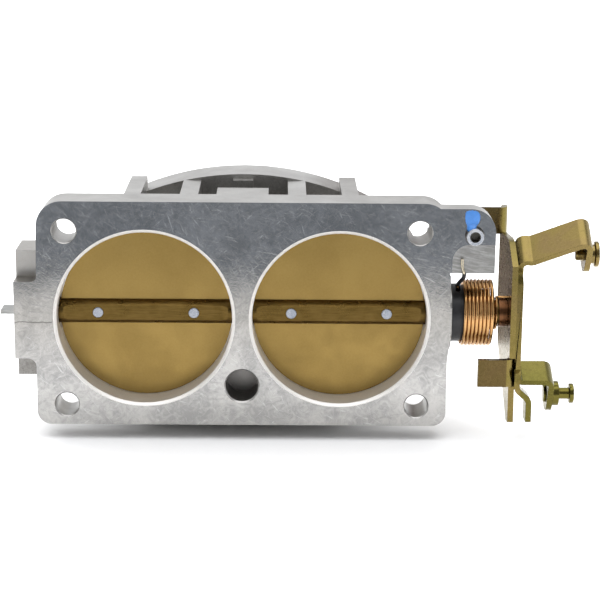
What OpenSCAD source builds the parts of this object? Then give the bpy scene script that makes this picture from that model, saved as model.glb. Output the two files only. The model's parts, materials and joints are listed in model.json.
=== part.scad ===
// Twin-bore throttle body: cast housing, one shaft with two blades, springs and a cable linkage.
// Millimetres. Origin: middle of the machined engine-side face, at shaft height.
// +X points to the linkage, +Y from the engine side to the air inlet, +Z up.

/* [Housing] */
// Width of the mounting flange
flange_w = 145.6; // [144:0.1:148]
// Top edge of the flange above the shaft line
flange_top = 42; // [41:0.1:43]
// Bottom edge of the flange below the shaft line
flange_drop = 38.9; // [38:0.1:41]
// Thickness of the flange
flange_t = 15.5; // [14:0.1:17]
// Corner bolt holes, spacing across
bolt_w = 124.4; // [122:0.1:126]
// Corner bolt holes, spacing up and down
bolt_h = 63; // [61:0.1:64]
// Corner bolt hole diameter
bolt_d = 8.4; // [7:0.1:9]
// Depth from the engine-side face to the mouth of the air inlet
body_depth = 64; // [62:0.5:68]

/* [Air bores] */
// Bore diameter
bore_d = 62; // [60:0.1:62.4]
// Distance between the two bore centres
bore_pitch = 69; // [68.6:0.1:70]
// Width of the chamfer round each bore
bore_chamfer = 0.9; // [0.5:0.1:1.2]
// Wall round the bores at the ends of the inlet
inlet_wall = 3.7; // [3.2:0.1:4]

/* [Shaft] */
// Shaft diameter
shaft_d = 9; // [8.6:0.1:9.4]
// Depth of the shaft line behind the engine-side face
shaft_y = 12.7; // [12:0.1:13]
// Gap between the shaft and its bushes, on the radius
bush_gap = 0.03; // [0.02:0.01:0.08]

/* [Blades] */
// Blade thickness
blade_t = 1.5; // [1.2:0.1:1.8]
// Gap between a blade and its bore, on the radius
blade_gap = 0.15; // [0.1:0.05:0.3]

/* [Springs] */
// Outer diameter of the return spring
spring_d = 24; // [23.6:0.1:24.4]
// Wire diameter of the return spring
spring_wire = 1.3; // [1.2:0.1:1.4]
// Turns in the return spring
spring_turns = 8; // [7:1:8]

/* [Linkage] */
// Thickness of the stamped levers
sheet_t = 2.1; // [1.9:0.1:2.2]
// Inner face of the stop lever, from the middle
lever_x = 95; // [94.7:0.1:95.2]

/* [Hidden] */
$fn = 96;
eps = 0.01;
bore_r = bore_d / 2;
bore_x = bore_pitch / 2;
shaft_r = shaft_d / 2;
half_w = flange_w / 2;

// Housing bosses and pads
ear_x = -80.3;
ear_z = [-14.7, 13.1];
pad_z = [-22.8, 22.8];
shoulder_in = 0.9;
pad_y = [8, 25];
boss_r = 12;
spring_boss_r = 13.5;
boss_end = 74.1;
bulge_x = 73.4;
tab_x = 88.7;
tab_z = [17.2, 40.2];
tab_t = 9;
stop_screw = [81.2, 30.8];
stop_screw_r = 3;
stop_boss_end = 24;
screw_front = -3;
sensor_hole_z = 18.5;
sensor_hole_r = 1.65;
sensor_hole_depth = 9;
port_z = -24.4;
port_r = 5.8;
port_depth = 13;

// Oval inlet: end arcs round the bore centres, flat arcs above and below
inlet_start = 44;
inlet_r = bore_r + inlet_wall;
arc_drop = 57.4;
arc_reach = norm([bore_x, arc_drop]);
mouth_depth = 9;
mouth_wall = 2.2;
entry_r = 2.4;

// Ribs over the bores
rib_spans = [[-42.4, -36.4], [-22.5, -16], [16, 22.5], [35.2, 41.2]];
rib_top = 41.9;
rib_end = 52;
rib_foot = 20;

// Shaft line fittings
shaft_end = -80.1;
bush_r = 6.5;
web_bush_r = 6;
seal_r = 8;
seal_t = 3;
clip_x = -78.9;
clip_t = 0.8;
clip_r = 7;
groove_r = 3.9;
washer_t = 0.9;
recess_r = 9.5;
recess_x = -77;
tang_x = -86.3;
tang_w = 7.8;
tang_t = 1.4;
flat_y = shaft_y - 3.6;
back_flat_y = shaft_y + 3.6;
flat_half = 26.6;
runout_r = 8;
slot_gap = 0.05;
screw_x = 17.1;
screw_r = 1.9;
screw_head_r = 3.5;
screw_head_t = 1.7;

// Spring parts
spool_x = [74.4, 85.4];
spool_r = 10;
spool_rim = 3.2;
spool_bore = 7.2;
spring_start = 78.4;
inner_spring_d = 12.3;
inner_wire = 1;
inner_turns = 13;
inner_start = 77.5;
spacer_start = 91.7;
spacer_r = 5.1;
return_r = (spring_d - spring_wire) / 2;
inner_r = (inner_spring_d - inner_wire) / 2;
coil_pitch = 1.04;
tang_hole = 0.3;

// Linkage
lever_end = lever_x + sheet_t;
cable_x = lever_end + sheet_t;
neck_r = 4;
bend_r = 2;
arm_bend_r = 1.2;
stop_tab_y = 34.1;
arm_tilt = 32.8;
arm_w = 13;
arm_root = [3.2, 17.4];
arm_crest = 4.4;
arm_valley = [102, 3.75];
arm_rise = 13.95;
arm_end = 121.5;
cable_hole = [6.5, 2.35];
low_tilt = 25;
low_w = 11;
low_root = [0.8, -23.4];
low_rise = 0.6;
low_end = 110.6;
cruise_hole = [5.5, -9];
finger_end = 102.6;
stud_r = 2.5;
pin_r = 2.1;

// ---- Building blocks ----

// Extrudes an outline drawn in X and Z from y0 to y1
module along_y(y0, y1) translate([0, y1, 0]) rotate([90, 0, 0]) linear_extrude(y1 - y0) children();

// Extrudes an outline drawn in Y and Z from x0 to x1
module along_x(x0, x1) translate([x0, 0, 0]) rotate([90, 0, 90]) linear_extrude(x1 - x0) children();

// Round bar along X, centred on the shaft line unless given another place
module bar_x(x0, x1, r, at = [shaft_y, 0]) along_x(x0, x1) translate(at) circle(r);

// Ring along X, on the shaft line
module ring_x(x0, x1, r_out, r_in) along_x(x0, x1) translate([shaft_y, 0]) ring(r_out, r_in);

// Round bar along Y at a place in X and Z
module bar_y(y0, y1, r, at) along_y(y0, y1) translate(at) circle(r);

module ring(r_out, r_in) difference() {
  circle(r_out);
  circle(r_in);
}

module box(x, y, z) translate([x[0], y[0], z[0]]) cube([x[1] - x[0], y[1] - y[0], z[1] - z[0]]);

module rect(x, z) translate([x[0], z[0]]) square([x[1] - x[0], z[1] - z[0]]);

// Takes the sharp corner at p off an outline; side_x and side_z point out of the corner
module corner_cut(p, r, side_x, side_z)
  translate([p[0] - side_x * r, p[1] - side_z * r]) difference() {
    translate([side_x > 0 ? 0 : -r - 1, side_z > 0 ? 0 : -r - 1]) square(r + 1);
    circle(r);
  }

// Fills the inside corner at p with a hollow round
module corner_fill(p, r, side_x, side_z)
  translate(p) difference() {
    translate([side_x > 0 ? -eps : -r, side_z > 0 ? -eps : -r]) square(r + eps);
    translate([side_x * r, side_z * r]) circle(r);
  }

// Countersink for a round hole at the face y = 0
module chamfer_y(at, r, size)
  translate([at[0], 0, at[1]]) rotate([-90, 0, 0])
    rotate_extrude() polygon([[0, -eps], [r + size + eps, -eps], [r, size], [0, size]]);

// Bent strip: a centre line of straight legs joined by bends of inside radius r
function unit(v) = v / norm(v);
function turn(a, b) = a[0] * b[1] - a[1] * b[0];
function bend_len(a, b, rc) = rc * tan(acos(min(1, unit(a) * unit(b))) / 2);
module strip(path, t, r) {
  n = len(path);
  rc = r + t / 2;
  steps = [for (i = [0:n - 2]) path[i + 1] - path[i]];
  cut = [for (i = [0:n - 1]) i == 0 || i == n - 1 ? 0 : bend_len(steps[i - 1], steps[i], rc)];
  for (i = [0:n - 2]) {
    d = unit(steps[i]);
    before = cut[i] > 0 ? cut[i] - eps : 0;
    after = cut[i + 1] > 0 ? cut[i + 1] - eps : 0;
    translate(path[i] + d * before) rotate(atan2(d[1], d[0]))
      translate([0, -t / 2]) square([norm(steps[i]) - before - after, t]);
  }
  for (i = [1:n - 2]) {
    a = unit(steps[i - 1]);
    b = unit(steps[i]);
    side = turn(a, b) > 0 ? 1 : -1;
    middle = path[i] - a * cut[i] + side * rc * [-a[1], a[0]];
    start = path[i] - a * cut[i] - middle;
    end = path[i] + b * cut[i] - middle;
    translate(middle) intersection() {
      ring(rc + t / 2, rc - t / 2);
      polygon([[0, 0], 2 * start, 2 * (start + end), 2 * end]);
    }
  }
}

// Points along a coil round the shaft line, turning from the angle given
function coil(x0, r, pitch, turns, per_turn, from) =
  [for (i = [0:turns * per_turn])
    let (a = from - 360 * i / per_turn)
    [x0 + pitch * i / per_turn, shaft_y + r * cos(a), r * sin(a)]];

// Rings of points square to a path, one after the other
function ways(points) =
  let (n = len(points)) [for (i = [0:n - 1]) unit(points[min(i + 1, n - 1)] - points[max(i - 1, 0)])];
function rims(points, r, sides) = let (along = ways(points)) [for (i = [0:len(points) - 1])
  let (u = unit(cross(along[i], [0.9, 0.3, 0.1])), v = cross(along[i], u))
  each [for (k = [0:sides - 1]) points[i] + r * (u * cos(360 * k / sides) + v * sin(360 * k / sides))]];
function walls(n, sides, first) = [for (i = [0:n - 2], k = [0:sides - 1])
  let (a = first + i * sides, b = a + sides, m = (k + 1) % sides) [a + k, a + m, b + m, b + k]];
function flipped(faces) = [for (f = faces) [for (k = [len(f) - 1:-1:0]) f[k]]];

// Wire: one closed tube swept along a list of points
module wire(points, r, sides) {
  n = len(points);
  near = [for (k = [sides - 1:-1:0]) k];
  far = [for (k = [0:sides - 1]) (n - 1) * sides + k];
  polyhedron(rims(points, r, sides), concat(walls(n, sides, 0), [near, far]), convexity = 8);
}

// Sleeve: a tube with a hole, swept along a list of points
module sleeve(points, r_out, r_in, sides) {
  n = len(points);
  inside = n * sides;
  last = (n - 1) * sides;
  near = [for (k = [0:sides - 1]) let (m = (k + 1) % sides) [m, k, inside + k, inside + m]];
  far = [for (k = [0:sides - 1])
    let (m = (k + 1) % sides) [last + k, last + m, inside + last + m, inside + last + k]];
  polyhedron(concat(rims(points, r_out, sides), rims(points, r_in, sides)),
    concat(walls(n, sides, 0), flipped(walls(n, sides, inside)), near, far), convexity = 8);
}

// ---- Housing ----

module oval(r) {
  big = arc_reach + r;
  half = bore_x * (1 + r / arc_reach);
  intersection() {
    translate([0, -arc_drop]) circle(big);
    translate([0, arc_drop]) circle(big);
    rect([-half, half], [-big, big]);
  }
  for (s = [-1, 1]) translate([s * bore_x, 0]) circle(r);
}

module flange_outline() {
  top_left = shoulder_in - half_w;
  difference() {
    polygon([[-half_w, -flange_drop], [half_w, -flange_drop], [half_w, flange_top], [top_left, flange_top],
             [top_left, flange_top - 9], [-half_w, -15]]);
    corner_cut([top_left, flange_top], 9, -1, 1);
    corner_cut([half_w, flange_top], 9, 1, 1);
    for (s = [-1, 1]) corner_cut([s * half_w, -flange_drop], 5, s, -1);
  }
  rect([ear_x, 1 - half_w], ear_z);
  corner_fill([-half_w, ear_z[0]], 3, -1, -1);
  corner_fill([0.6 - half_w, ear_z[1]], 2, -1, 1);
  polygon([[half_w - 1, 20], [bulge_x, 16], [bulge_x, -9], [half_w, -15], [half_w - 1, -15]]);
}

module tab_outline() difference() {
  rect([half_w - 9, tab_x], tab_z);
  corner_cut([tab_x, tab_z[1]], 8.5, 1, 1);
}

// The part of the tab that is left as cast, just below the machined face
module tab_recess() difference() {
  rect([bulge_x + 0.3, tab_x + 1], [tab_z[0] - 1, 27.5]);
  corner_cut([bulge_x + 0.3, 27.5], 6, -1, 1);
}

module sensor_pad() {
  box([ear_x, -66], [0, pad_y[1]], ear_z);
  box([ear_x, -70], pad_y, pad_z);
}

module ribs() {
  for (x = rib_spans) for (z = [[rib_foot, rib_top], [-flange_drop, -rib_foot]])
    box(x, [flange_t - 1, rib_end], z);
  box([-9.5, 9], [flange_t - 1, 30], [20, flange_top - 0.3]);
  box([-4.2, 3.2], [40, inlet_start + 1], [20, 42.6]);
}

module casting() {
  along_y(0, flange_t) flange_outline();
  along_y(0, tab_t) tab_outline();
  bar_y(tab_t - 1, stop_boss_end, 6, stop_screw);
  box([66, bulge_x], [tab_t - 1, stop_boss_end - 6], [14, 30]);
  for (s = [-1, 1]) bar_y(flange_t - 1, inlet_start + 1, inlet_r, [s * bore_x, 0]);
  box([-22.5, 22.5], [flange_t - 1, inlet_start + 1], [-26, 26]);
  along_y(inlet_start, body_depth) oval(inlet_r);
  ribs();
  intersection() {
    union() {
      bar_x(ear_x, boss_end, boss_r);
      bar_x(half_w - 6, boss_end, spring_boss_r);
    }
    box([-90, 90], [0, 30], [-20, 20]);
  }
  sensor_pad();
}

module housing() color("silver") difference() {
  casting();
  for (s = [-1, 1]) {
    bar_y(-1, body_depth + 1, bore_r, [s * bore_x, 0]);
    chamfer_y([s * bore_x, 0], bore_r, bore_chamfer);
    translate([s * bore_x, body_depth - mouth_depth, 0]) rotate([90, 0, 0])
      rotate_extrude() difference() {
        translate([bore_r - 1, -eps]) square([entry_r + 1, entry_r]);
        translate([bore_r + entry_r, entry_r]) circle(entry_r);
      }
    for (t = [-1, 1]) {
      bar_y(-1, flange_t + 1, bolt_d / 2, [s * bolt_w / 2, t * bolt_h / 2]);
      chamfer_y([s * bolt_w / 2, t * bolt_h / 2], bolt_d / 2, 0.4);
    }
  }
  along_y(body_depth - mouth_depth, body_depth + 1) oval(inlet_r - mouth_wall);
  bar_y(-1, port_depth, port_r, [0, port_z]);
  chamfer_y([0, port_z], port_r, 0.5);
  bar_y(-1, stop_boss_end + 1, stop_screw_r + 0.05, stop_screw);
  chamfer_y(stop_screw, stop_screw_r + 0.05, 0.4);
  along_y(-1, 0.4) tab_recess();
  bar_x(ear_x - 1, -bore_x, bush_r);
  bar_x(bore_x, boss_end + 1, bush_r);
  bar_x(-bore_x, bore_x, web_bush_r);
  bar_x(ear_x - 1, recess_x, recess_r);
  bar_x(boss_end - seal_t, boss_end + 1, seal_r);
  bar_x(boss_end - 4, boss_end + 1, spring_wire / 2 + tang_hole, [shaft_y + return_r, 0]);
  for (s = [-1, 1])
    bar_x(ear_x - 1, ear_x + sensor_hole_depth, sensor_hole_r, [shaft_y + 2, s * sensor_hole_z]);
}

// ---- Shaft line ----

module left_bush() color("darkgoldenrod") ring_x(recess_x + seal_t, -66.2, bush_r, shaft_r + bush_gap);

module middle_bush() color("darkgoldenrod") ring_x(-3.1, 3.1, web_bush_r, shaft_r + bush_gap);

module right_bush() color("darkgoldenrod") ring_x(66.2, boss_end - seal_t, bush_r, shaft_r + bush_gap);

module left_seal() color("dimgray") ring_x(recess_x, recess_x + seal_t, bush_r, shaft_r + 0.05);

module right_seal() color("dimgray") ring_x(boss_end - seal_t, boss_end - 0.3, seal_r, shaft_r + 0.05);

module thrust_washer() color("lightgray") ring_x(recess_x - washer_t, recess_x, 8, shaft_r + 0.1);

module shaft_clip() color("dimgray") along_x(clip_x, clip_x + clip_t) translate([shaft_y, 0]) difference() {
  circle(clip_r);
  circle(groove_r);
  rect([-groove_r + 0.4, groove_r - 0.4], [0, clip_r + 1]);
}

// A blade's span of the shaft: flats, the slot for the blade and the screw holes
module blade_seat(s) {
  slot = bore_r + 0.1;
  middle = s * bore_x;
  for (side = [-1, 1]) {
    near = side < 0 ? flat_y - 5 : back_flat_y;
    box([middle - flat_half, middle + flat_half], [near, near + 5], [-6, 6]);
    for (end = [-1, 1])
      translate([middle + end * flat_half, shaft_y + side * (back_flat_y - shaft_y + runout_r), -6])
        cylinder(r = runout_r, h = 12);
  }
  box([middle - slot, middle + slot],
      [shaft_y - blade_t / 2 - slot_gap, shaft_y + blade_t / 2 + slot_gap], [-6, 6]);
  for (side = [-1, 1]) bar_y(shaft_y - 6, shaft_y + 6, screw_r + 0.05, [middle + side * screw_x, 0]);
}

module throttle_shaft() color("peru") difference() {
  union() {
    bar_x(shaft_end, spacer_start, shaft_r);
    bar_x(spacer_start - 1, cable_x, neck_r);
    bar_x(cable_x, cable_x + 0.8, 5.2);
    along_x(tang_x, shaft_end + 1)
      translate([shaft_y, 0]) rect([-tang_w / 2, tang_w / 2], [-tang_t / 2, tang_t / 2]);
  }
  for (s = [-1, 1]) blade_seat(s);
  ring_x(clip_x - 0.05, clip_x + clip_t + 0.05, shaft_r + 1, groove_r);
}

module blade(s) color("goldenrod") along_y(shaft_y - blade_t / 2, shaft_y + blade_t / 2) difference() {
  translate([s * bore_x, 0]) circle(bore_r - blade_gap, $fn = 192);
  for (side = [-1, 1]) translate([s * bore_x + side * screw_x, 0]) circle(screw_r + 0.05);
}

module left_blade() blade(-1);

module right_blade() blade(1);

module blade_screws() color("whitesmoke") for (s = [-1, 1]) for (side = [-1, 1]) {
  at = [s * bore_x + side * screw_x, 0];
  bar_y(flat_y - 0.3, back_flat_y + eps, screw_r, at);
  bar_y(back_flat_y, back_flat_y + screw_head_t, screw_head_r, at);
}

// ---- Springs ----

module spring_spool() color([0.12, 0.12, 0.13]) difference() {
  union() {
    bar_x(spool_x[0], spool_x[0] + spool_rim, spool_r + 0.4);
    bar_x(spool_x[0], spool_x[1], spool_r);
  }
  bar_x(spool_x[0] - 1, spool_x[1] + 1, shaft_r + 0.4);
  bar_x(spool_x[0] + 1.6, spool_x[1] + 1, spool_bore);
  box([spool_x[0] + 1.6, spool_x[0] + 3.4], [7.4, 11.6], [4, 12]);
}

return_pitch = spring_wire * coil_pitch;
return_end = spring_start + return_pitch * spring_turns;
return_path = concat(
  [[boss_end - 3.5, shaft_y + return_r, 0], [spring_start - 1.4, shaft_y + return_r, 0]],
  coil(spring_start, return_r, return_pitch, spring_turns, 20, 0),
  [[return_end + 1.4, shaft_y + return_r, 0], [lever_end - 0.4, shaft_y + return_r, 0]]);

module return_spring() color("chocolate") wire(return_path, spring_wire / 2, 8);

// The inner spring's leg leaves through the spool's notch and hooks over the tab's front
leg_covered = [[76.8, 8.6, 11.4], [77, 5.8, 12.8], [77.4, 3, 14.2], [77.9, 0.4, 15.6]];
leg_hook = [[77.1, -0.55, 22.6], [77.2, -0.55, 19.6], [77.9, -0.75, 17.4]];
leg_root = [[76.8, 9.2, 9.5], [76.9, 10, 7.5], [77.2, 11.4, 6]];
inner_end = inner_start + inner_wire * coil_pitch * inner_turns;
inner_path = concat(leg_hook, [for (i = [3:-1:0]) leg_covered[i]], leg_root,
  coil(inner_start, inner_r, inner_wire * coil_pitch, inner_turns, 16, 90),
  [[inner_end + 1, shaft_y, inner_r], [lever_end - 0.4, shaft_y, inner_r]]);

module inner_spring() color("sienna") wire(inner_path, inner_wire / 2, 6);

module leg_sleeve() color([0.1, 0.1, 0.1])
  sleeve(leg_covered, inner_wire / 2 + 0.28, inner_wire / 2 + 0.1, 10);

module shaft_spacer() color("saddlebrown") ring_x(spacer_start, lever_x, spacer_r, neck_r);

// ---- Linkage ----

module lever_outline(points) difference() {
  polygon(points);
  translate([shaft_y, 0]) circle(neck_r);
}

module stop_plate() difference() {
  lever_outline([[0.6, 19.6], [0.6, -13.9], [4, -13.9], [4, -24.2], [0.6, -24.2], [0, -37.3], [5, -38.1],
                 [24, -25], [36, -17], [41, -4], [41, 32.4], [39, 34.4], [37, 34.4], [37, 24.4],
                 [18, 26.4], [12, 26]]);
  translate([shaft_y + return_r, 0]) circle(spring_wire / 2 + tang_hole);
  translate([shaft_y, inner_r]) circle(inner_wire / 2 + tang_hole);
}

// A tab of the stop lever, folded from the plate's edge towards the housing
module folded_tab(from, edge, tip, low, high)
  translate([0, 0, low]) linear_extrude(high - low)
    strip([[lever_x + sheet_t / 2, from], [lever_x + sheet_t / 2, edge], [tip, edge]], sheet_t, bend_r);

module stop_lever() color("darkkhaki") {
  along_x(lever_x, lever_end) stop_plate();
  folded_tab(38, stop_tab_y, 77.5, 24.6, 34.4);
  folded_tab(5, 0.2, 83.8, -24, -14.1);
}

module cable_plate()
  lever_outline([[0.6, 13], [0.6, -22.4], [2, -22.9], [13, -17.8], [24, -10], [26, -6], [26, 8],
                 [14.4, 23.9], [3.5, 16.9]]);

// Places what is drawn in an arm's own frame: Y across its width, Z off its face
module arm_frame(root, tilt) translate([0, root[0], root[1]]) rotate([tilt, 0, 0]) children();

// Arm that leaves the cable plate at its edge and ends in a rounded ear with a stud hole
module arm(width, path, hole, ear_r, stud) difference() {
  reach = path[len(path) - 1][0];
  along_y(0, width) strip(path, sheet_t, arm_bend_r);
  along_x(reach - 3, reach + 3) {
    translate(hole) circle(stud);
    for (s = [-1, 1])
      corner_cut([s < 0 ? 0 : width, hole[1] - ear_r], min(ear_r - 0.4, width / 2 - 0.3), s, -1);
  }
}

module guide_finger() along_y(1, 8)
  strip([[cable_x - sheet_t / 2, -18], [cable_x - sheet_t / 2, -25.6],
         [finger_end, -29.6], [finger_end, -37.6]], sheet_t, bend_r);

module cable_lever() color("olivedrab") {
  along_x(lever_end, cable_x) cable_plate();
  plate_mid = cable_x - sheet_t / 2;
  arm_frame(arm_root, arm_tilt)
    arm(arm_w, [[plate_mid, -7], [plate_mid, arm_crest], arm_valley, [arm_end, arm_rise], [arm_end, -2.75]],
        cable_hole, 5.1, stud_r);
  arm_frame(low_root, low_tilt)
    arm(low_w, [[plate_mid, 5], [plate_mid, low_rise], [low_end, low_rise], [low_end, -15.2]],
        cruise_hole, 6.2, pin_r);
  guide_finger();
}

// Round bar of a stud in an arm's frame, measured from the arm's ear
module stud_bar(ear, from, to, r, hole) bar_x(ear + from, ear + to, r, hole);

module cable_stud() color("gray") arm_frame(arm_root, arm_tilt) {
  stud_bar(arm_end, -3.6, sheet_t / 2 + eps, stud_r, cable_hole);
  stud_bar(arm_end, sheet_t / 2, 3.1, 3.4, cable_hole);
  stud_bar(arm_end, 3, 4.5, 4.6, cable_hole);
}

module cruise_stud() color("tan") arm_frame(low_root, low_tilt) {
  stud_bar(low_end, -1.9, -sheet_t / 2, 3.2, cruise_hole);
  stud_bar(low_end, -sheet_t / 2 - eps, sheet_t / 2 + eps, pin_r, cruise_hole);
  stud_bar(low_end, sheet_t / 2, 3.6, 4.5, cruise_hole);
  stud_bar(low_end, 3.5, 7.6, pin_r, cruise_hole);
  stud_bar(low_end, 7.5, 9.1, 3.6, cruise_hole);
}

module idle_stop_screw() color("silver") difference() {
  bar_y(screw_front, stop_tab_y - sheet_t / 2 - eps, stop_screw_r, stop_screw);
  along_y(screw_front - 1, screw_front + 2.5) translate(stop_screw) circle(1.75, $fn = 6);
}

housing();
left_bush();
middle_bush();
right_bush();
left_seal();
right_seal();
thrust_washer();
shaft_clip();
throttle_shaft();
left_blade();
right_blade();
blade_screws();
spring_spool();
return_spring();
inner_spring();
leg_sleeve();
shaft_spacer();
stop_lever();
cable_lever();
cable_stud();
cruise_stud();
idle_stop_screw();
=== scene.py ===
"""Twin-bore throttle body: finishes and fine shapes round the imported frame. Metres, +Z up."""
import json
import math

import bmesh
import bpy
from mathutils import Matrix, Vector

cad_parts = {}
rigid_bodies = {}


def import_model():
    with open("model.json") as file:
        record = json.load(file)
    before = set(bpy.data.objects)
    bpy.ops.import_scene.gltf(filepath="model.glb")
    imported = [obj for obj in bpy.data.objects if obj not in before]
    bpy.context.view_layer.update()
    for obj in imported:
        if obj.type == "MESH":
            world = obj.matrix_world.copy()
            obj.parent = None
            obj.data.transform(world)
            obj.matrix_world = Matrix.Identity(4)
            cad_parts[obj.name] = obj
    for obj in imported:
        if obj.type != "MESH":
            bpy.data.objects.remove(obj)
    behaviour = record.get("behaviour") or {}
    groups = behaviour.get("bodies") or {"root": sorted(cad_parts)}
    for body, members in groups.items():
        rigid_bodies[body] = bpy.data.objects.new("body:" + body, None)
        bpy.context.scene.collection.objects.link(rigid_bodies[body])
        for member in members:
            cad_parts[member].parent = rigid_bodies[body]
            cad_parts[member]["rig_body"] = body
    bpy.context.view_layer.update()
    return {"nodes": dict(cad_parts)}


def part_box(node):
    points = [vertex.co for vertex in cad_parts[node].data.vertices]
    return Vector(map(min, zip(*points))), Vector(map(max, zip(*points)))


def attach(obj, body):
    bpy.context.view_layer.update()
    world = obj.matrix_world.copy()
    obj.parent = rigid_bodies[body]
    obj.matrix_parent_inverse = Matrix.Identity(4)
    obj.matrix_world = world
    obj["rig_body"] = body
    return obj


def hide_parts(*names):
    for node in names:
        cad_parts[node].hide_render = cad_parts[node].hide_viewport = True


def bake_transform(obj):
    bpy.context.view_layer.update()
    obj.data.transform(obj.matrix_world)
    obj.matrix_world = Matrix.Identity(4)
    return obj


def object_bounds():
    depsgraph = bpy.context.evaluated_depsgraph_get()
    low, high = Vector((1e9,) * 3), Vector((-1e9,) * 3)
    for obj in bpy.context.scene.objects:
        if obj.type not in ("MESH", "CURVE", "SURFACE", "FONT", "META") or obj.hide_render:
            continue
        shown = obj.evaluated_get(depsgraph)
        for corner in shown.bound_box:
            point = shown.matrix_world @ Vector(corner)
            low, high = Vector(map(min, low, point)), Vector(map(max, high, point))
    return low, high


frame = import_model()
MM = 0.001

# ---- Camera: a long lens a little above the shaft line ----
CAMERA_TARGET = Vector((20.4, 0, 7.28)) * MM
CAMERA_DISTANCE = 0.64464
CAMERA_AZIMUTH = math.radians(-0.70)
CAMERA_ELEVATION = math.radians(13.93)
CAMERA_ROLL = math.radians(0.54)
FOCAL_MM = 109.9
SENSOR_MM = 36.0

# ---- Driving places, read off the frame ----
BLADE_LOW, BLADE_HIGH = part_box("right_blade")
BORE_X = (BLADE_LOW[0] + BLADE_HIGH[0]) / 2
BLADE_R = (BLADE_HIGH[0] - BLADE_LOW[0]) / 2
SHAFT_Y = (BLADE_LOW[1] + BLADE_HIGH[1]) / 2
BORE_R = BLADE_R + 0.15 * MM
FLOOR_GAP = 0.3 * MM

# ---- Where the finish changes on the parts ----
FACE_SKIN = 0.12 * MM          # the milled face is what lies in front of this
CHAMFER = 1.1 * MM             # the bored finish reaches this far past the bore
SEAM_END_X = -67 * MM          # the mould seam shows left of this
PAD_X = -72.95 * MM            # face of the sensor pad
RECESS_X = 73.6 * MM           # left edge of the rough recess behind the lug
RECESS_TOP = 27.6 * MM
PORT_Z = -28 * MM
TANG_X = -80.15 * MM           # the bare drive tang is left of this
HOOK_Z = 14 * MM               # the inner spring's bare hook starts here
SOCKET_R = 1.9 * MM
ARM_X = 99.5 * MM              # the lower arm is right of this
TAB_X = 94 * MM                # the lever tabs are left of this


def make_camera():
    az, el = CAMERA_AZIMUTH, CAMERA_ELEVATION
    back = Vector((math.sin(az) * math.cos(el), -math.cos(az) * math.cos(el), math.sin(el)))
    data = bpy.data.cameras.new("camera")
    data.lens = FOCAL_MM
    data.sensor_width = SENSOR_MM
    data.clip_start = 0.01
    camera = bpy.data.objects.new("camera", data)
    bpy.context.scene.collection.objects.link(camera)
    aim = back.to_track_quat("Z", "Y").to_matrix()
    camera.matrix_world = (Matrix.Translation(CAMERA_TARGET + back * CAMERA_DISTANCE)
                           @ aim.to_4x4() @ Matrix.Rotation(CAMERA_ROLL, 4, "Z"))
    bpy.context.scene.camera = camera


make_camera()
bpy.context.scene.view_settings.view_transform = "Standard"


# ---- Materials ----

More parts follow.
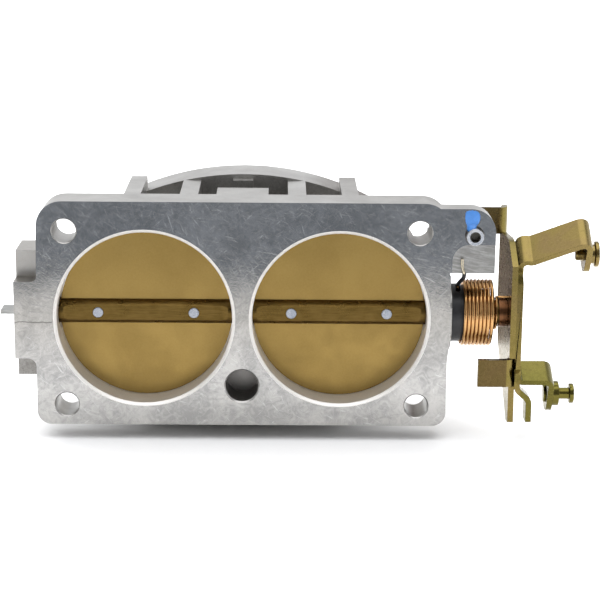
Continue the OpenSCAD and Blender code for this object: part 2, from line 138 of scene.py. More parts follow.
class Paint:
    """A small helper that adds nodes to one material and joins them up."""

    def __init__(self, name, metallic=1.0, rough=0.4, colour=(0.5, 0.5, 0.5)):
        self.material = bpy.data.materials.new(name)
        self.material.use_nodes = True
        self.tree = self.material.node_tree
        self.shader = self.tree.nodes["Principled BSDF"]
        self.shader.inputs["Metallic"].default_value = metallic
        self.shader.inputs["Roughness"].default_value = rough
        self.shader.inputs["Base Color"].default_value = (*colour, 1)
        self.place = self.tree.nodes.new("ShaderNodeTexCoord").outputs["Object"]

    def node(self, kind, inputs=None, **settings):
        made = self.tree.nodes.new(kind)
        for key, value in settings.items():
            setattr(made, key, value)
        for key, value in (inputs or {}).items():
            if isinstance(value, bpy.types.NodeSocket):
                self.tree.links.new(value, made.inputs[key])
            else:
                made.inputs[key].default_value = value
        return made

    def math(self, operation, a, b=0.0):
        return self.node("ShaderNodeMath", {0: a, 1: b}, operation=operation).outputs[0]

    def axes(self):
        return self.node("ShaderNodeSeparateXYZ", {0: self.place}).outputs

    def both(self, a, b):
        """One where both are one."""
        return self.math("MULTIPLY", a, b)

    def weighed(self, a, share_a, b, share_b):
        return self.math("ADD", self.math("MULTIPLY", a, share_a), self.math("MULTIPLY", b, share_b))

    def distance(self, a, b):
        return self.math("SQRT", self.math("ADD", self.math("MULTIPLY", a, a), self.math("MULTIPLY", b, b)))

    def mapped(self, scale=(1, 1, 1), turn=(0, 0, 0), move=(0, 0, 0)):
        """The place, turned and then divided by the scale, so a big number stretches along that axis."""
        return self.node("ShaderNodeMapping", {"Vector": self.place, "Scale": scale, "Rotation": turn,
                                               "Location": move}, vector_type="TEXTURE").outputs[0]

    def noise(self, scale, detail=3.0, rough=0.6, distort=0.0, vector=None):
        return self.node("ShaderNodeTexNoise",
                         {"Vector": vector or self.place, "Scale": scale, "Detail": detail,
                          "Roughness": rough, "Distortion": distort}).outputs["Fac"]

    def span(self, value, low, high, out_low=0.0, out_high=1.0):
        made = self.node("ShaderNodeMapRange", {0: value, 1: low, 2: high, 3: out_low, 4: out_high})
        return made.outputs[0]

    def ramp(self, value, *stops):
        made = self.node("ShaderNodeValToRGB", {"Fac": value})
        marks = made.color_ramp.elements
        while len(marks) < len(stops):
            marks.new(0.5)
        for mark, (at, colour) in zip(marks, stops):
            mark.position = at
            mark.color = (*colour, 1)
        return made.outputs["Color"]

    def mix(self, share, a, b):
        made = self.node("ShaderNodeMix", data_type="RGBA")
        for index, value in ((0, share), (6, a), (7, b)):
            if isinstance(value, bpy.types.NodeSocket):
                self.tree.links.new(value, made.inputs[index])
            else:
                made.inputs[index].default_value = value if index == 0 else (*value, 1)
        return made.outputs[2]

    def blend(self, share, a, b):
        made = self.node("ShaderNodeMix", {0: share, 2: a, 3: b}, data_type="FLOAT")
        return made.outputs[0]

    def bump(self, height, depth, strength):
        return self.node("ShaderNodeBump", {"Height": height, "Distance": depth,
                                            "Strength": strength}).outputs["Normal"]

    def finish(self, colour, rough=None, normal=None):
        for key, value in (("Base Color", colour), ("Roughness", rough), ("Normal", normal)):
            if value is not None:
                self.tree.links.new(value, self.shader.inputs[key])
        return self.material


def strokes(p, scale, turn, seed):
    """Short fine lines in one direction: noise stretched along X."""
    return p.noise(scale, 2.0, 0.5, 0.5, p.mapped((9, 1, 1), (0, turn, 0), (seed, 0, seed)))


def cast_aluminium():
    """Cast skin, with a milled mounting face, bright chamfers and bored walls."""
    p = Paint("cast aluminium", 1.0, 0.45)
    x, y, z = p.axes()
    across = p.math("SUBTRACT", p.math("ABSOLUTE", x), BORE_X)
    in_bore = p.math("LESS_THAN", p.distance(across, z), BORE_R + CHAMFER)
    milled = p.both(p.math("LESS_THAN", y, FACE_SKIN), p.math("SUBTRACT", 1.0, in_bore))

    mottle = p.noise(900, 4, 0.65, 1.2)
    patch = p.weighed(p.noise(70, 4, 0.6, 0.4), 0.5, mottle, 0.5)
    cast_tone = p.ramp(patch, (0.34, (0.34, 0.33, 0.315)), (0.64, (0.53, 0.52, 0.50)))
    cast_rough = p.span(mottle, 0.3, 0.7, 0.32, 0.46)
    cast_height = p.math("ADD", mottle, p.math("MULTIPLY", p.noise(2600, 3, 0.6), 0.5))

    # cutter marks: short strokes in five directions, brighter than the face as a painted highlight
    lines = [strokes(p, 1500, turn, seed)
             for turn, seed in ((0.55, 0.1), (0.9, 0.7), (1.25, 1.9), (-0.7, 2.6), (0.2, 3.3))]
    cut = lines[0]
    for line in lines[1:]:
        cut = p.math("MAXIMUM", cut, line)
    swirl = p.noise(240, 5, 0.65, 2.6)
    soft = p.weighed(swirl, 0.5, p.noise(55, 3, 0.55, 0.8), 0.5)
    milled_tone_and_painted_reflection = p.ramp(soft, (0.40, (0.24, 0.24, 0.24)), (0.60, (0.43, 0.42, 0.41)))
    # painted highlight: the cutter marks are made lighter than the face
    milled_tone_and_painted_reflection = p.mix(p.span(cut, 0.66, 0.76, 0.0, 0.5), milled_tone_and_painted_reflection, (0.70, 0.70, 0.70))
    # painted reflection: the milled face is lighter towards the bottom and darker in its upper zone, standing
    # in for the floor and the dark card it reflects
    milled_tone_and_painted_reflection = p.mix(p.span(z, -30 * MM, -12 * MM, 0.16, 0.0), milled_tone_and_painted_reflection, (0.72, 0.70, 0.65))
    milled_tone_and_painted_reflection = p.mix(p.span(z, -22 * MM, 0, 0.05, 0.45), milled_tone_and_painted_reflection, (0.20, 0.185, 0.155))
    seam = p.math("ABSOLUTE", p.math("ADD", z, p.math("MULTIPLY", p.noise(90, 3, 0.7), 3 * MM)))
    mark = p.both(p.span(seam, 0.10 * MM, 0.30 * MM, 0.7, 0.0), p.math("LESS_THAN", x, SEAM_END_X))
    milled_tone_and_painted_reflection = p.mix(mark, milled_tone_and_painted_reflection, (0.07, 0.065, 0.06))
    milled_rough = p.span(cut, 0.5, 0.75, 0.07, 0.20)
    milled_height = p.weighed(cut, 1.6, swirl, 0.8)

    rings = p.node("ShaderNodeTexWave", {"Vector": p.place, "Scale": 420, "Distortion": 0.3, "Detail": 2},
                   wave_type="BANDS", bands_direction="Y").outputs["Fac"]
    bored_tone = p.ramp(rings, (0.2, (0.86, 0.84, 0.81)), (0.8, (0.94, 0.92, 0.89)))
    bored_rough = 0.58

    # painted shade: the cast skin is darkened on the pad, more towards the bottom, dark in the recess and
    # darkest down the port
    on_pad = p.both(p.math("LESS_THAN", x, PAD_X), p.math("GREATER_THAN", y, 0.7 * MM))
    pad_painted_shade = p.ramp(p.span(z, -21 * MM, 16 * MM), (0.2, (0.20, 0.19, 0.175)), (0.9, (0.40, 0.38, 0.35)))
    skin = p.mix(on_pad, cast_tone, p.mix(p.span(mottle, 0.35, 0.65, 0.55, 1.0), cast_tone, pad_painted_shade))
    # painted shade in the recess behind the lug
    recess_shade_mask = p.both(p.math("GREATER_THAN", x, RECESS_X),
                       p.both(p.math("LESS_THAN", y, 0.8 * MM), p.math("LESS_THAN", z, RECESS_TOP)))
    skin = p.mix(p.both(recess_shade_mask, p.span(lines[4], 0.4, 0.65, 0.75, 0.25)), skin, (0.20, 0.195, 0.18))
    # painted shade down the port, darker with depth
    port_depth = p.both(p.span(y, 0.5 * MM, 2 * MM), p.math("LESS_THAN", y, 15 * MM))
    port_place = p.both(p.math("LESS_THAN", p.math("ABSOLUTE", x), 7 * MM),
                        p.math("LESS_THAN", p.math("ABSOLUTE", p.math("SUBTRACT", z, PORT_Z)), 8 * MM))
    port_painted_shade = p.both(port_depth, p.math("MULTIPLY", port_place, 0.8))
    skin = p.mix(port_painted_shade, skin, (0.17, 0.16, 0.15))

    colour = p.mix(in_bore, p.mix(milled, skin, milled_tone_and_painted_reflection), bored_tone)
    rough = p.blend(in_bore, p.blend(milled, cast_rough, milled_rough), bored_rough)
    height = p.blend(in_bore, p.blend(milled, cast_height, milled_height), p.math("MULTIPLY", rings, 0.3))
    return p.finish(colour, rough, p.bump(height, 0.035 * MM, 0.5))


def blade_brass():
    """Rolled brass-toned sheet: fine grain under soft cloudy tone."""
    rough = 0.36
    p = Paint("blade brass", 1.0, rough)
    grain = p.noise(1800, 3, 0.6, 0.1, p.mapped())
    tone = p.weighed(grain, 0.35, p.noise(45, 3, 0.5, 0.6), 0.65)
    return p.finish(p.ramp(tone, (0.36, (0.265, 0.175, 0.054)), (0.64, (0.31, 0.208, 0.066))),
                    p.span(p.noise(120, 3, 0.6), 0.3, 0.7, rough * 0.85, rough * 1.2),
                    p.bump(p.math("ADD", grain, p.noise(3500, 2, 0.5)), 0.004 * MM, 0.5))


def drawn_grain(p):
    """Hair lines round a bar turned or drawn along X, and the clouds that vary its tone."""
    hair = p.noise(3200, 2, 0.5, 0.0, p.mapped((1, 10, 10)))
    cloud = p.noise(160, 4, 0.65, 0.8)
    return hair, cloud, p.weighed(hair, 0.4, cloud, 0.6)


def turned_metal(name, dark, light, rough):
    """Round bar turned or drawn along X."""
    p = Paint(name, 1.0, rough)
    hair, cloud, tone = drawn_grain(p)
    return p.finish(p.ramp(tone, (0.34, dark), (0.66, light)),
                    p.span(cloud, 0.3, 0.7, rough * 0.8, rough * 1.25), p.bump(hair, 0.02 * MM, 0.5))


def spring_copper():
    """Coppery spring wire, bright where it is drawn; the bare hook of the inner spring is paler."""
    p = Paint("spring copper", 1.0, 0.18)
    hair, cloud, tone = drawn_grain(p)
    wire = p.ramp(tone, (0.34, (0.40, 0.215, 0.08)), (0.66, (0.66, 0.39, 0.17)))
    colour = p.mix(p.span(p.axes()[2], HOOK_Z, HOOK_Z + 2 * MM), wire, (0.50, 0.44, 0.33))
    return p.finish(colour, p.span(cloud, 0.3, 0.7, 0.14, 0.24), p.bump(hair, 0.012 * MM, 0.5))


def shaft_brass():
    """Brass-toned shaft; its drive tang at the far left end is bare steel."""
    p = Paint("shaft brass", 1.0, 0.30)
    hair = p.noise(3000, 2, 0.5, 0.0, p.mapped((14, 1, 1)))
    cloud = p.noise(130, 4, 0.6, 0.6)
    tone = p.weighed(hair, 0.45, cloud, 0.55)
    brass = p.ramp(tone, (0.36, (0.085, 0.052, 0.013)), (0.64, (0.15, 0.095, 0.028)))
    steel = p.ramp(tone, (0.36, (0.22, 0.22, 0.21)), (0.64, (0.44, 0.44, 0.42)))
    colour = p.mix(p.math("LESS_THAN", p.axes()[0], TANG_X), brass, steel)
    return p.finish(colour, p.span(cloud, 0.3, 0.7, 0.24, 0.38), p.bump(hair, 0.015 * MM, 0.5))


def bright_steel():
    """Zinc plate, bright on the idle stop screw and dull elsewhere; the screw's socket is painted dark as
    shade.
    """
    p = Paint("bright steel", 1.0, 0.26)
    x, _, z = p.axes()
    low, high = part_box("idle_stop_screw")
    dx = p.math("SUBTRACT", x, (low[0] + high[0]) / 2)
    dz = p.math("SUBTRACT", z, (low[2] + high[2]) / 2)
    radius = p.distance(dx, dz)
    hair = p.noise(2600, 3, 0.6, 0.4)
    cloud = p.noise(300, 4, 0.65, 0.8)
    tone = p.weighed(hair, 0.4, cloud, 0.6)
    plate = p.ramp(tone, (0.34, (0.42, 0.43, 0.46)), (0.66, (0.70, 0.70, 0.70)))
    dull = p.ramp(tone, (0.34, (0.20, 0.22, 0.26)), (0.66, (0.42, 0.43, 0.46)))
    plate = p.mix(p.math("LESS_THAN", radius, 20 * MM), dull, plate)
    # painted shade: dark inside the screw's socket
    colour = p.mix(p.math("LESS_THAN", radius, SOCKET_R), plate, (0.07, 0.065, 0.055))
    return p.finish(colour, p.span(cloud, 0.3, 0.7, 0.20, 0.34), p.bump(hair, 0.02 * MM, 0.5))


def chromate(name, rough):
    """Yellow chromate over zinc: straw drifts and olive on the lower arm; the tab faces are painted browner
    as shade.
    """
    p = Paint(name, 1.0, rough)
    x, _, z = p.axes()
    speck = p.noise(900, 3, 0.6)
    film_and_painted_shade = p.ramp(p.noise(38, 3, 0.55, 1.4), (0.30, (0.145, 0.122, 0.030)), (0.45, (0.178, 0.138, 0.040)),
                  (0.58, (0.200, 0.148, 0.050)), (0.72, (0.19, 0.135, 0.055)))
    olive = p.both(p.math("LESS_THAN", z, -13 * MM), p.math("GREATER_THAN", x, ARM_X))
    film_and_painted_shade = p.mix(p.math("MULTIPLY", olive, 0.7), film_and_painted_shade, (0.115, 0.105, 0.022))
    # painted shade: the tab faces are made a darker brown
    tabs = p.math("LESS_THAN", x, TAB_X)
    film_and_painted_shade = p.mix(p.math("MULTIPLY", tabs, 0.75), film_and_painted_shade, (0.085, 0.055, 0.025))
    colour = p.mix(p.span(speck, 0.60, 0.80, 0.0, 0.3), film_and_painted_shade, (0.07, 0.05, 0.02))
    height = p.math("ADD", p.noise(500, 3, 0.6), p.math("MULTIPLY", speck, 0.2))
    return p.finish(colour, p.span(speck, 0.3, 0.75, rough * 0.8, rough * 1.35),
                    p.bump(height, 0.03 * MM, 0.35))


def moulded(name, colour, rough, scale=1600):
    """Moulded nylon or rubber with a fine even texture."""
    p = Paint(name, 0.0, rough, colour)
    fine = p.noise(scale, 3, 0.6)
    lighter = tuple(min(1.0, c * 1.7 + 0.01) for c in colour)
    return p.finish(p.ramp(p.noise(120, 3, 0.6), (0.3, colour), (0.75, lighter)),
                    p.span(fine, 0.3, 0.7, rough * 0.8, rough * 1.2), p.bump(fine, 0.03 * MM, 0.5))


def floor_paper():
    """Pale seamless paper: matt, with a very faint tooth."""
    p = Paint("floor paper", 0.0, 0.9, (0.95, 0.95, 0.95))
    tooth = p.noise(700, 3, 0.6)
    return p.finish(p.ramp(tooth, (0.2, (0.93, 0.93, 0.93)), (0.8, (0.96, 0.96, 0.96))), None,
                    p.bump(tooth, 0.01 * MM, 0.2))


MATERIALS = {
    "cast_aluminium": cast_aluminium(),
    "blade_brass": blade_brass(),
    "shaft_brass": shaft_brass(),
    "bright_steel": bright_steel(),
    "dark_steel": turned_metal("dark steel", (0.08, 0.075, 0.07), (0.16, 0.15, 0.14), 0.45),
    "bronze": turned_metal("bronze", (0.36, 0.24, 0.11), (0.52, 0.36, 0.18), 0.42),
    "dark_bronze": turned_metal("dark bronze", (0.07, 0.03, 0.015), (0.20, 0.09, 0.04), 0.28),
    "spring_copper": spring_copper(),
    "chromate_steel": chromate("chromate steel", 0.27),
    "chromate_stud": chromate("chromate stud", 0.20),
    "black_nylon": moulded("black nylon", (0.005, 0.005, 0.006), 0.40),
    "seal_rubber": moulded("seal rubber", (0.012, 0.012, 0.012), 0.6),
    "sealing_paint": moulded("sealing paint", (0.045, 0.17, 0.46), 0.35, 500),
}


# ---- Making and finishing pieces ----

def object_from(name, mesh, slot):
    mesh.materials.clear()
    mesh.materials.append(MATERIALS[slot])
    piece = bpy.data.objects.new(name, mesh)
    bpy.context.scene.collection.objects.link(piece)
    for polygon in mesh.polygons:
        polygon.use_smooth = True
    return piece


def baked(piece):
    """The piece with its modifiers made real."""
    mesh = bpy.data.meshes.new_from_object(piece.evaluated_get(bpy.context.evaluated_depsgraph_get()))
    piece.modifiers.clear()
    piece.data = mesh
    return piece


def round_edges(piece, width, segments, angle, clamped=True):
    """Rounds the edges sharper than the angle, and makes the rounding real."""
    rounding = piece.modifiers.new("edges", "BEVEL")
    rounding.width = width
    rounding.segments = segments
    rounding.limit_method = "ANGLE"
    rounding.angle_limit = math.radians(angle)
    rounding.use_clamp_overlap = clamped
    # large faces keep their own direction, so that only the rounded edges shade smoothly
    weights = piece.modifiers.new("shading", "WEIGHTED_NORMAL")
    weights.mode = "FACE_AREA"
    weights.weight = 50
    weights.keep_sharp = False
    baked(piece)


def clean_copy(node):
    """A joined-up copy of a CAD node's mesh, with its flat faces whole again."""
    work = bmesh.new()
    work.from_mesh(frame["nodes"][node].data)
    bmesh.ops.remove_doubles(work, verts=work.verts, dist=0.001 * MM)
    bmesh.ops.dissolve_limit(work, angle_limit=math.radians(0.3), verts=work.verts, edges=work.edges)
    mesh = bpy.data.meshes.new(node)
    work.to_mesh(mesh)
    work.free()
    return mesh


def eased(node, slot, width, segments, angle=32, clamped=True):
    """Stands for a CAD node with the same shape and its edges rounded.

    Unclamped, the rounding keeps its full width where short edges crowd together.
    """
    piece = object_from(node + "_finished", clean_copy(node), slot)
    round_edges(piece, width, segments, angle, clamped)
    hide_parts(node)
    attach(piece, frame["nodes"][node]["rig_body"])


def wire_tree():
    """Geometry nodes: sweeps a round wire along the piece's own line."""
    tree = bpy.data.node_groups.new("swept wire", "GeometryNodeTree")
    face = tree.interface
    face.new_socket("Line", in_out="INPUT", socket_type="NodeSocketGeometry")
    face.new_socket("Wire radius", in_out="INPUT", socket_type="NodeSocketFloat")
    face.new_socket("Sides", in_out="INPUT", socket_type="NodeSocketInt")
    face.new_socket("Material", in_out="INPUT", socket_type="NodeSocketMaterial")
    face.new_socket("Wire", in_out="OUTPUT", socket_type="NodeSocketGeometry")
    nodes, links = tree.nodes, tree.links
    given, result = nodes.new("NodeGroupInput"), nodes.new("NodeGroupOutput")
    line = nodes.new("GeometryNodeMeshToCurve")
    circle = nodes.new("GeometryNodeCurvePrimitiveCircle")
    sweep = nodes.new("GeometryNodeCurveToMesh")
    smooth = nodes.new("GeometryNodeSetShadeSmooth")
    real = nodes.new("GeometryNodeRealizeInstances")
    coat = nodes.new("GeometryNodeSetMaterial")
    sweep.inputs["Fill Caps"].default_value = True
    links.new(given.outputs["Line"], line.inputs["Mesh"])
    links.new(given.outputs["Wire radius"], circle.inputs["Radius"])
    links.new(given.outputs["Sides"], circle.inputs["Resolution"])
    links.new(line.outputs["Curve"], sweep.inputs["Curve"])
    links.new(circle.outputs["Curve"], sweep.inputs["Profile Curve"])
    links.new(sweep.outputs["Mesh"], smooth.inputs["Geometry"])
    links.new(smooth.outputs["Geometry"], real.inputs["Geometry"])
    links.new(real.outputs["Geometry"], coat.inputs["Geometry"])
    links.new(given.outputs["Material"], coat.inputs["Material"])
    links.new(coat.outputs["Geometry"], result.inputs["Wire"])
    return tree


WIRE_TREE = wire_tree()
WIRE_SIDES = 14


def swept(name, points, radius, slot):
    """A wire of this radius along the points."""
    mesh = bpy.data.meshes.new(name)
    mesh.from_pydata([tuple(q) for q in points], [(i, i + 1) for i in range(len(points) - 1)], [])
    piece = bpy.data.objects.new(name, mesh)
    bpy.context.scene.collection.objects.link(piece)
    sweep = piece.modifiers.new("wire", "NODES")
    sweep.node_group = WIRE_TREE
    values = {"Wire radius": radius, "Sides": WIRE_SIDES, "Material": MATERIALS[slot]}
    for item in WIRE_TREE.interface.items_tree:
        if item.in_out == "INPUT" and item.name in values:
            sweep[item.identifier] = values[item.name]
    baked(piece)
    work = bmesh.new()
    work.from_mesh(piece.data)
    bmesh.ops.remove_doubles(work, verts=work.verts, dist=0.0005 * MM)
    bmesh.ops.recalc_face_normals(work, faces=work.faces)
    work.to_mesh(piece.data)
    work.free()
    return piece


def rounded_path(corners, radius, steps=6):
    """The corners joined by straight lines, with every inside corner made a soft bend."""
    path = [Vector(corners[0])]
    for before, here, after in zip(corners, corners[1:], corners[2:]):
        before, here, after = Vector(before), Vector(here), Vector(after)
        cut = min(radius, (here - before).length * 0.45, (after - here).length * 0.45)
        start = here + (before - here).normalized() * cut
        end = here + (after - here).normalized() * cut
        for i in range(steps + 1):
            t = i / steps
            path.append(start * (1 - t) ** 2 + here * 2 * t * (1 - t) + end * t ** 2)
    path.append(Vector(corners[-1]))
    return path


def lathe(name, slot, profile, origin):
    """A round piece along X from (distance, radius) pairs, both ends closed."""
    sides = 72
    turn = Vector((1, 0, 0)).to_track_quat("Z", "Y").to_matrix()
    work = bmesh.new()
    rings = []
    for along, radius in profile:
        if radius < 1e-7:
            rings.append([work.verts.new(Vector(origin) + turn @ Vector((0, 0, along)))])
            continue
        rings.append([work.verts.new(Vector(origin) + turn @ Vector(
            (radius * math.cos(2 * math.pi * k / sides), radius * math.sin(2 * math.pi * k / sides), along)))
            for k in range(sides)])
    for a, b in zip(rings, rings[1:]):
        for k in range(sides):
            m = (k + 1) % sides
            face = [a[k % len(a)], a[m % len(a)], b[m % len(b)], b[k % len(b)]]
            work.faces.new(list(dict.fromkeys(face)))
    bmesh.ops.recalc_face_normals(work, faces=work.faces)
    mesh = bpy.data.meshes.new(name)
    work.to_mesh(mesh)
    work.free()
    return object_from(name, mesh, slot)


# ---- The pieces ----

def finish_cad_parts():
    eased("housing", "cast_aluminium", 0.45 * MM, 2)
    for side in ("left", "right"):
        eased(side + "_blade", "blade_brass", 0.12 * MM, 1)
        eased(side + "_seal", "seal_rubber", 0.15 * MM, 1)
    for place in ("left", "middle", "right"):
        eased(place + "_bush", "bronze", 0.15 * MM, 1)
    eased("thrust_washer", "bright_steel", 0.1 * MM, 1)
    eased("shaft_clip", "dark_steel", 0.1 * MM, 1)
    eased("throttle_shaft", "shaft_brass", 0.15 * MM, 2)
    eased("spring_spool", "black_nylon", 0.3 * MM, 2)
    eased("shaft_spacer", "dark_bronze", 0.2 * MM, 2)
    eased("stop_lever", "chromate_steel", 0.3 * MM, 3, 50)
    eased("cable_lever", "chromate_steel", 0.1 * MM, 2, 50, clamped=False)
    eased("blade_screws", "bright_steel", 0.25 * MM, 2)
    eased("idle_stop_screw", "bright_steel", 0.3 * MM, 2)


def coil(x0, radius, pitch, turns, start):
    """Points round a coil about the shaft, from the start angle on."""
    per_turn = 40
    path = []
    for i in range(turns * per_turn + 1):
        angle = start - 2 * math.pi * i / per_turn
        path.append(Vector((x0 + pitch * i / per_turn, SHAFT_Y + radius * math.cos(angle),
                            radius * math.sin(angle))))
    return path


def make_springs():
    low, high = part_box("return_spring")
    wire, pitch, turns, first = 0.65 * MM, 1.352 * MM, 8, 78.4 * MM
    ring = (high[2] - low[2]) / 2 - wire
    last = first + pitch * turns
    path = ([Vector((low[0], SHAFT_Y + ring, 0)), Vector((first - 1.4 * MM, SHAFT_Y + ring, 0))]
            + coil(first, ring, pitch, turns, 0)
            + [Vector((last + 1.4 * MM, SHAFT_Y + ring, 0)), Vector((high[0], SHAFT_Y + ring, 0))])
    outer = swept("return_spring_coil", path, wire, "spring_copper")
    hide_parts("return_spring")
    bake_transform(outer)

    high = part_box("inner_spring")[1]
    wire, ring, pitch, turns, first = 0.5 * MM, 5.65 * MM, 1.04 * MM, 13, 77.5 * MM
    last = first + pitch * turns
    bend = 1.2 * MM
    leg = [Vector(q) * MM for q in (
        (77.1, -0.55, 22.6), (77.2, -0.55, 19.6), (77.9, -0.75, 17.4), (77.9, 0.4, 15.6), (77.4, 3, 14.2),
        (77, 5.8, 12.8), (76.8, 8.6, 11.4), (76.8, 9.2, 9.5), (76.9, 10, 7.5), (77.2, 11.4, 6),
        (77.5, SHAFT_Y / MM, 5.65))]
    path = (rounded_path(leg, bend)[:-1] + coil(first, ring, pitch, turns, math.pi / 2)
            + [Vector((last + 1 * MM, SHAFT_Y, ring)), Vector((high[0], SHAFT_Y, ring))])
    inner = swept("inner_spring_coil", path, wire, "spring_copper")
    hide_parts("inner_spring")
    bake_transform(inner)

    # the sleeve covers the part of the leg between its hook and the coil
    sleeve = swept("leg_sleeve_tube", rounded_path(leg[2:7], bend), 0.72 * MM, "black_nylon")
    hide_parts("leg_sleeve")
    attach(sleeve, "body")


def make_studs():
    """The two turned studs, each riveted through the ear of its arm."""
    thread = [(0.35 + 0.22 * i, 2.45 if i % 2 else 2.15) for i in range(10)]
    cable = ([(0, 0), (0, 2.0)] + thread + [(2.55, 2.45), (4.65, 2.45), (4.65, 3.25), (4.8, 3.4), (6.55, 3.4),
             (6.6, 4.35), (6.75, 4.55), (6.9, 4.6), (7.85, 4.6), (8.0, 4.52), (8.1, 4.3), (8.1, 0)])
    cruise = [(0, 0), (0, 2.95), (0.12, 3.12), (0.3, 3.2), (0.85, 3.2), (0.85, 2.1), (2.95, 2.1),
              (2.95, 4.3), (3.1, 4.45), (3.3, 4.5), (5.25, 4.5), (5.42, 4.42), (5.5, 4.25), (5.5, 2.3),
              (5.7, 2.1), (9.25, 2.1), (9.4, 2.3), (9.4, 3.35), (9.5, 3.52),
              (9.65, 3.6), (10.75, 3.6), (10.92, 3.52), (11, 3.35), (11, 0)]
    for node, profile in (("cable_stud", cable), ("cruise_stud", cruise)):
        low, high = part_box(node)
        start = (low[0], (low[1] + high[1]) / 2, (low[2] + high[2]) / 2)
        profile = [(a * MM, b * MM) for a, b in profile]
        stud = lathe(node + "_turned", "chromate_stud", profile, start)
        round_edges(stud, 0.08 * MM, 2, 35)
        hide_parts(node)
        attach(stud, "shaft")


def make_paint_dab():
    """Sealing paint over the top of the idle stop screw: a low lump that climbs the screw's side."""
    low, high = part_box("idle_stop_screw")
    screw = Vector(((low[0] + high[0]) / 2, 0, (low[2] + high[2]) / 2)) / MM
    outline = [(77.7, 37.2), (77.9, 39.2), (79.3, 39.8), (81.3, 39.7), (82.6, 38.9), (83.0, 37.2),
               (82.7, 35.6), (81.9, 34.4), (81.4, 33.0), (80.4, 32.2), (79.2, 31.8), (78.4, 32.8),
               (78.4, 34.3), (77.9, 35.6)]
    centre = Vector((80.3, 0, 36.2))
    count, rings, sides = len(outline), 10, 84
    border = []
    for k in range(sides):
        t = k * count / sides
        i, f = int(t), t - int(t)
        a, b, c, d = (Vector((*outline[(i + j) % count], 0)) for j in (-1, 0, 1, 2))
        q = 0.5 * (2 * b + (c - a) * f + (2 * a - 5 * b + 4 * c - d) * f ** 2
                   + (3 * b - a - 3 * c + d) * f ** 3)
        ragged = 1 + 0.03 * math.sin(11 * t) + 0.02 * math.sin(23 * t + 1)
        border.append(centre + (Vector((q.x, 0, q.y)) - centre) * ragged)
    work = bmesh.new()
    previous = [work.verts.new(point(centre, centre, 0, screw))]
    for i in range(1, rings + 1):
        ring = [work.verts.new(point(centre, edge, i / rings, screw)) for edge in border]
        for k in range(sides):
            m = (k + 1) % sides
            work.faces.new(list(dict.fromkeys([previous[k % len(previous)], ring[k], ring[m],
                                               previous[m % len(previous)]])))
        previous = ring
    work.faces.new(previous)
    bmesh.ops.recalc_face_normals(work, faces=work.faces)
    mesh = bpy.data.meshes.new("sealing_paint_dab")
    work.to_mesh(mesh)
    work.free()
    dab = object_from("sealing_paint_dab", mesh, "sealing_paint")
    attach(dab, "body")


def point(centre, edge, share, screw):
    """A point of the paint: its height falls to nothing at the edge and rises against the screw."""
    at = centre + (edge - centre) * share
    climb = min(1.0, max(0.0, (4.4 - (at - screw).length) / 1.4))
    height = (0.42 + 0.06 * math.sin(4 * at.x + 1) * math.sin(3 * at.z)) * math.sqrt(max(0.0, 1 - share ** 4))
    height += 2.1 * climb ** 2 * (3 - 2 * climb) * (1 - share ** 6)
    return Vector((at.x, 0.02 - height, at.z)) * MM


# ---- Studio ----

def plane(name, corners, material):
    mesh = bpy.data.meshes.new(name)
    mesh.from_pydata([tuple(c) for c in corners], [], [tuple(range(len(corners)))])
    mesh.materials.append(material)
    made = bpy.data.objects.new(name, mesh)
    bpy.context.scene.collection.objects.link(made)
    return made


def area_light(name, place, aim, size, power):
    data = bpy.data.lights.new(name, "AREA")
    data.shape = "RECTANGLE"
    data.size, data.size_y = size
    data.energy = power
    lamp = bpy.data.objects.new(name, data)
    lamp.location = place
    lamp.rotation_euler = (Vector(place) - Vector(aim)).to_track_quat("Z", "Y").to_euler()
    lamp.visible_glossy = False
    bpy.context.scene.collection.objects.link(lamp)


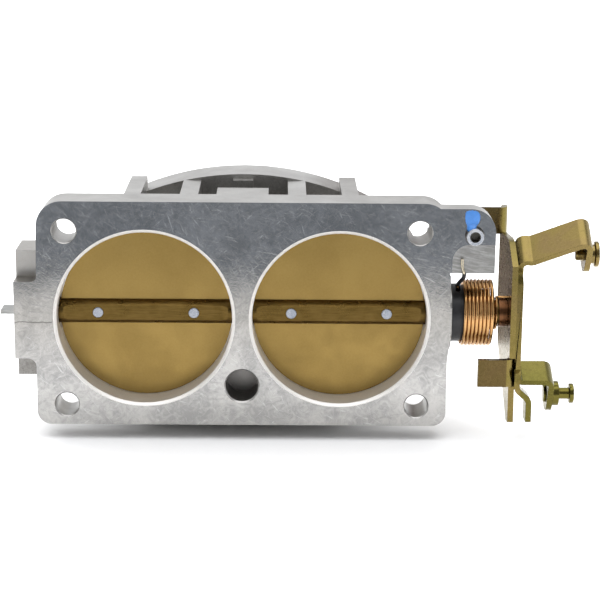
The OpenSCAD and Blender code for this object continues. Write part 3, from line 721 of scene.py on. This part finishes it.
def make_studio():
    floor_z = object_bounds()[0][2] - FLOOR_GAP
    plane("floor", [(-6, -6, floor_z), (6, -6, floor_z), (6, 6, floor_z), (-6, 6, floor_z)], floor_paper())
    # lies on the floor in front, and darkens the upper zone of the milled face
    card = Paint("dark card", 0.0, 0.9, (0.25, 0.28, 0.33))
    shade = card.ramp(card.noise(14, 3, 0.6), (0.3, (0.22, 0.25, 0.30)), (0.7, (0.29, 0.32, 0.37)))
    near_y, far_y, card_z = -0.75, -0.232, floor_z + 0.0002
    lying = plane("card", [(-0.6, near_y, card_z), (0.6, near_y, card_z), (0.6, far_y, card_z),
                           (-0.6, far_y, card_z)], card.finish(shade))
    # stands behind the linkage, and darkens the levers' left faces
    flag = Paint("flag", 0.0, 0.9, (0.20, 0.16, 0.15))
    shade = flag.ramp(flag.noise(40, 3, 0.6), (0.3, (0.16, 0.13, 0.12)), (0.7, (0.26, 0.21, 0.19)))
    left, right, flag_y, foot, top = 0.035, 0.098, 0.13, floor_z + 0.001, 0.06
    standing = plane("flag", [(left, flag_y, foot), (right, flag_y, foot), (right, flag_y, top),
                              (left, flag_y, top)], flag.finish(shade))
    for board in (lying, standing):
        board.visible_camera = False
        board.visible_diffuse = False
        board.visible_shadow = False
    make_world()
    area_light("key", (-0.5, -0.9, 1.3), (0, 0, 0), (0.9, 0.9), 4)
    area_light("top", (0.2, 0.5, 1.2), (0, 0, 0), (1.4, 1.4), 3)
    area_light("wash", (0, 2.2, 1.6), (0, 2.2, 0), (5, 3), 110)


def make_world():
    """Soft surroundings: bright overhead, with fainter walls behind and at both sides."""
    world = bpy.data.worlds.new("studio")
    world.use_nodes = True
    nodes, links = world.node_tree.nodes, world.node_tree.links
    parts = nodes.new("ShaderNodeSeparateXYZ")
    links.new(nodes.new("ShaderNodeTexCoord").outputs["Generated"], parts.inputs[0])

    def joined(operation, a, b):
        both = nodes.new("ShaderNodeMath")
        both.operation = operation
        links.new(a, both.inputs[0])
        links.new(b, both.inputs[1])
        return both.outputs[0]

    def step(axis, *limits):
        """A smooth step along one axis: where it starts and ends, and its values there."""
        made = nodes.new("ShaderNodeMapRange")
        made.interpolation_type = "SMOOTHSTEP"
        links.new(parts.outputs[axis], made.inputs[0])
        for index, value in enumerate(limits, 1):
            made.inputs[index].default_value = value
        return made.outputs[0]

    below = ("Z", 0.75, 0.45, 0.0, 1.0)
    level = step("Z", 0.0, 0.5, 0.22, 0.36)
    for glow in (step("Z", 0.70, 0.90, 0.0, 2.3),
                 joined("MULTIPLY", step("Y", 0.0, 0.6, 0.0, 0.75), step("Z", 0.85, 0.5, 0.0, 1.0)),
                 joined("MULTIPLY", step("X", 0.45, 0.9, 0.0, 0.8), step(*below)),
                 joined("MULTIPLY", step("X", -0.5, -0.9, 0.0, 0.5), step(*below))):
        level = joined("ADD", level, glow)
    background = nodes["Background"]
    links.new(level, background.inputs["Strength"])
    background.inputs["Color"].default_value = (0.99, 1.0, 1.02, 1)
    bpy.context.scene.world = world


finish_cad_parts()
make_springs()
make_studs()
make_paint_dab()
make_studio()
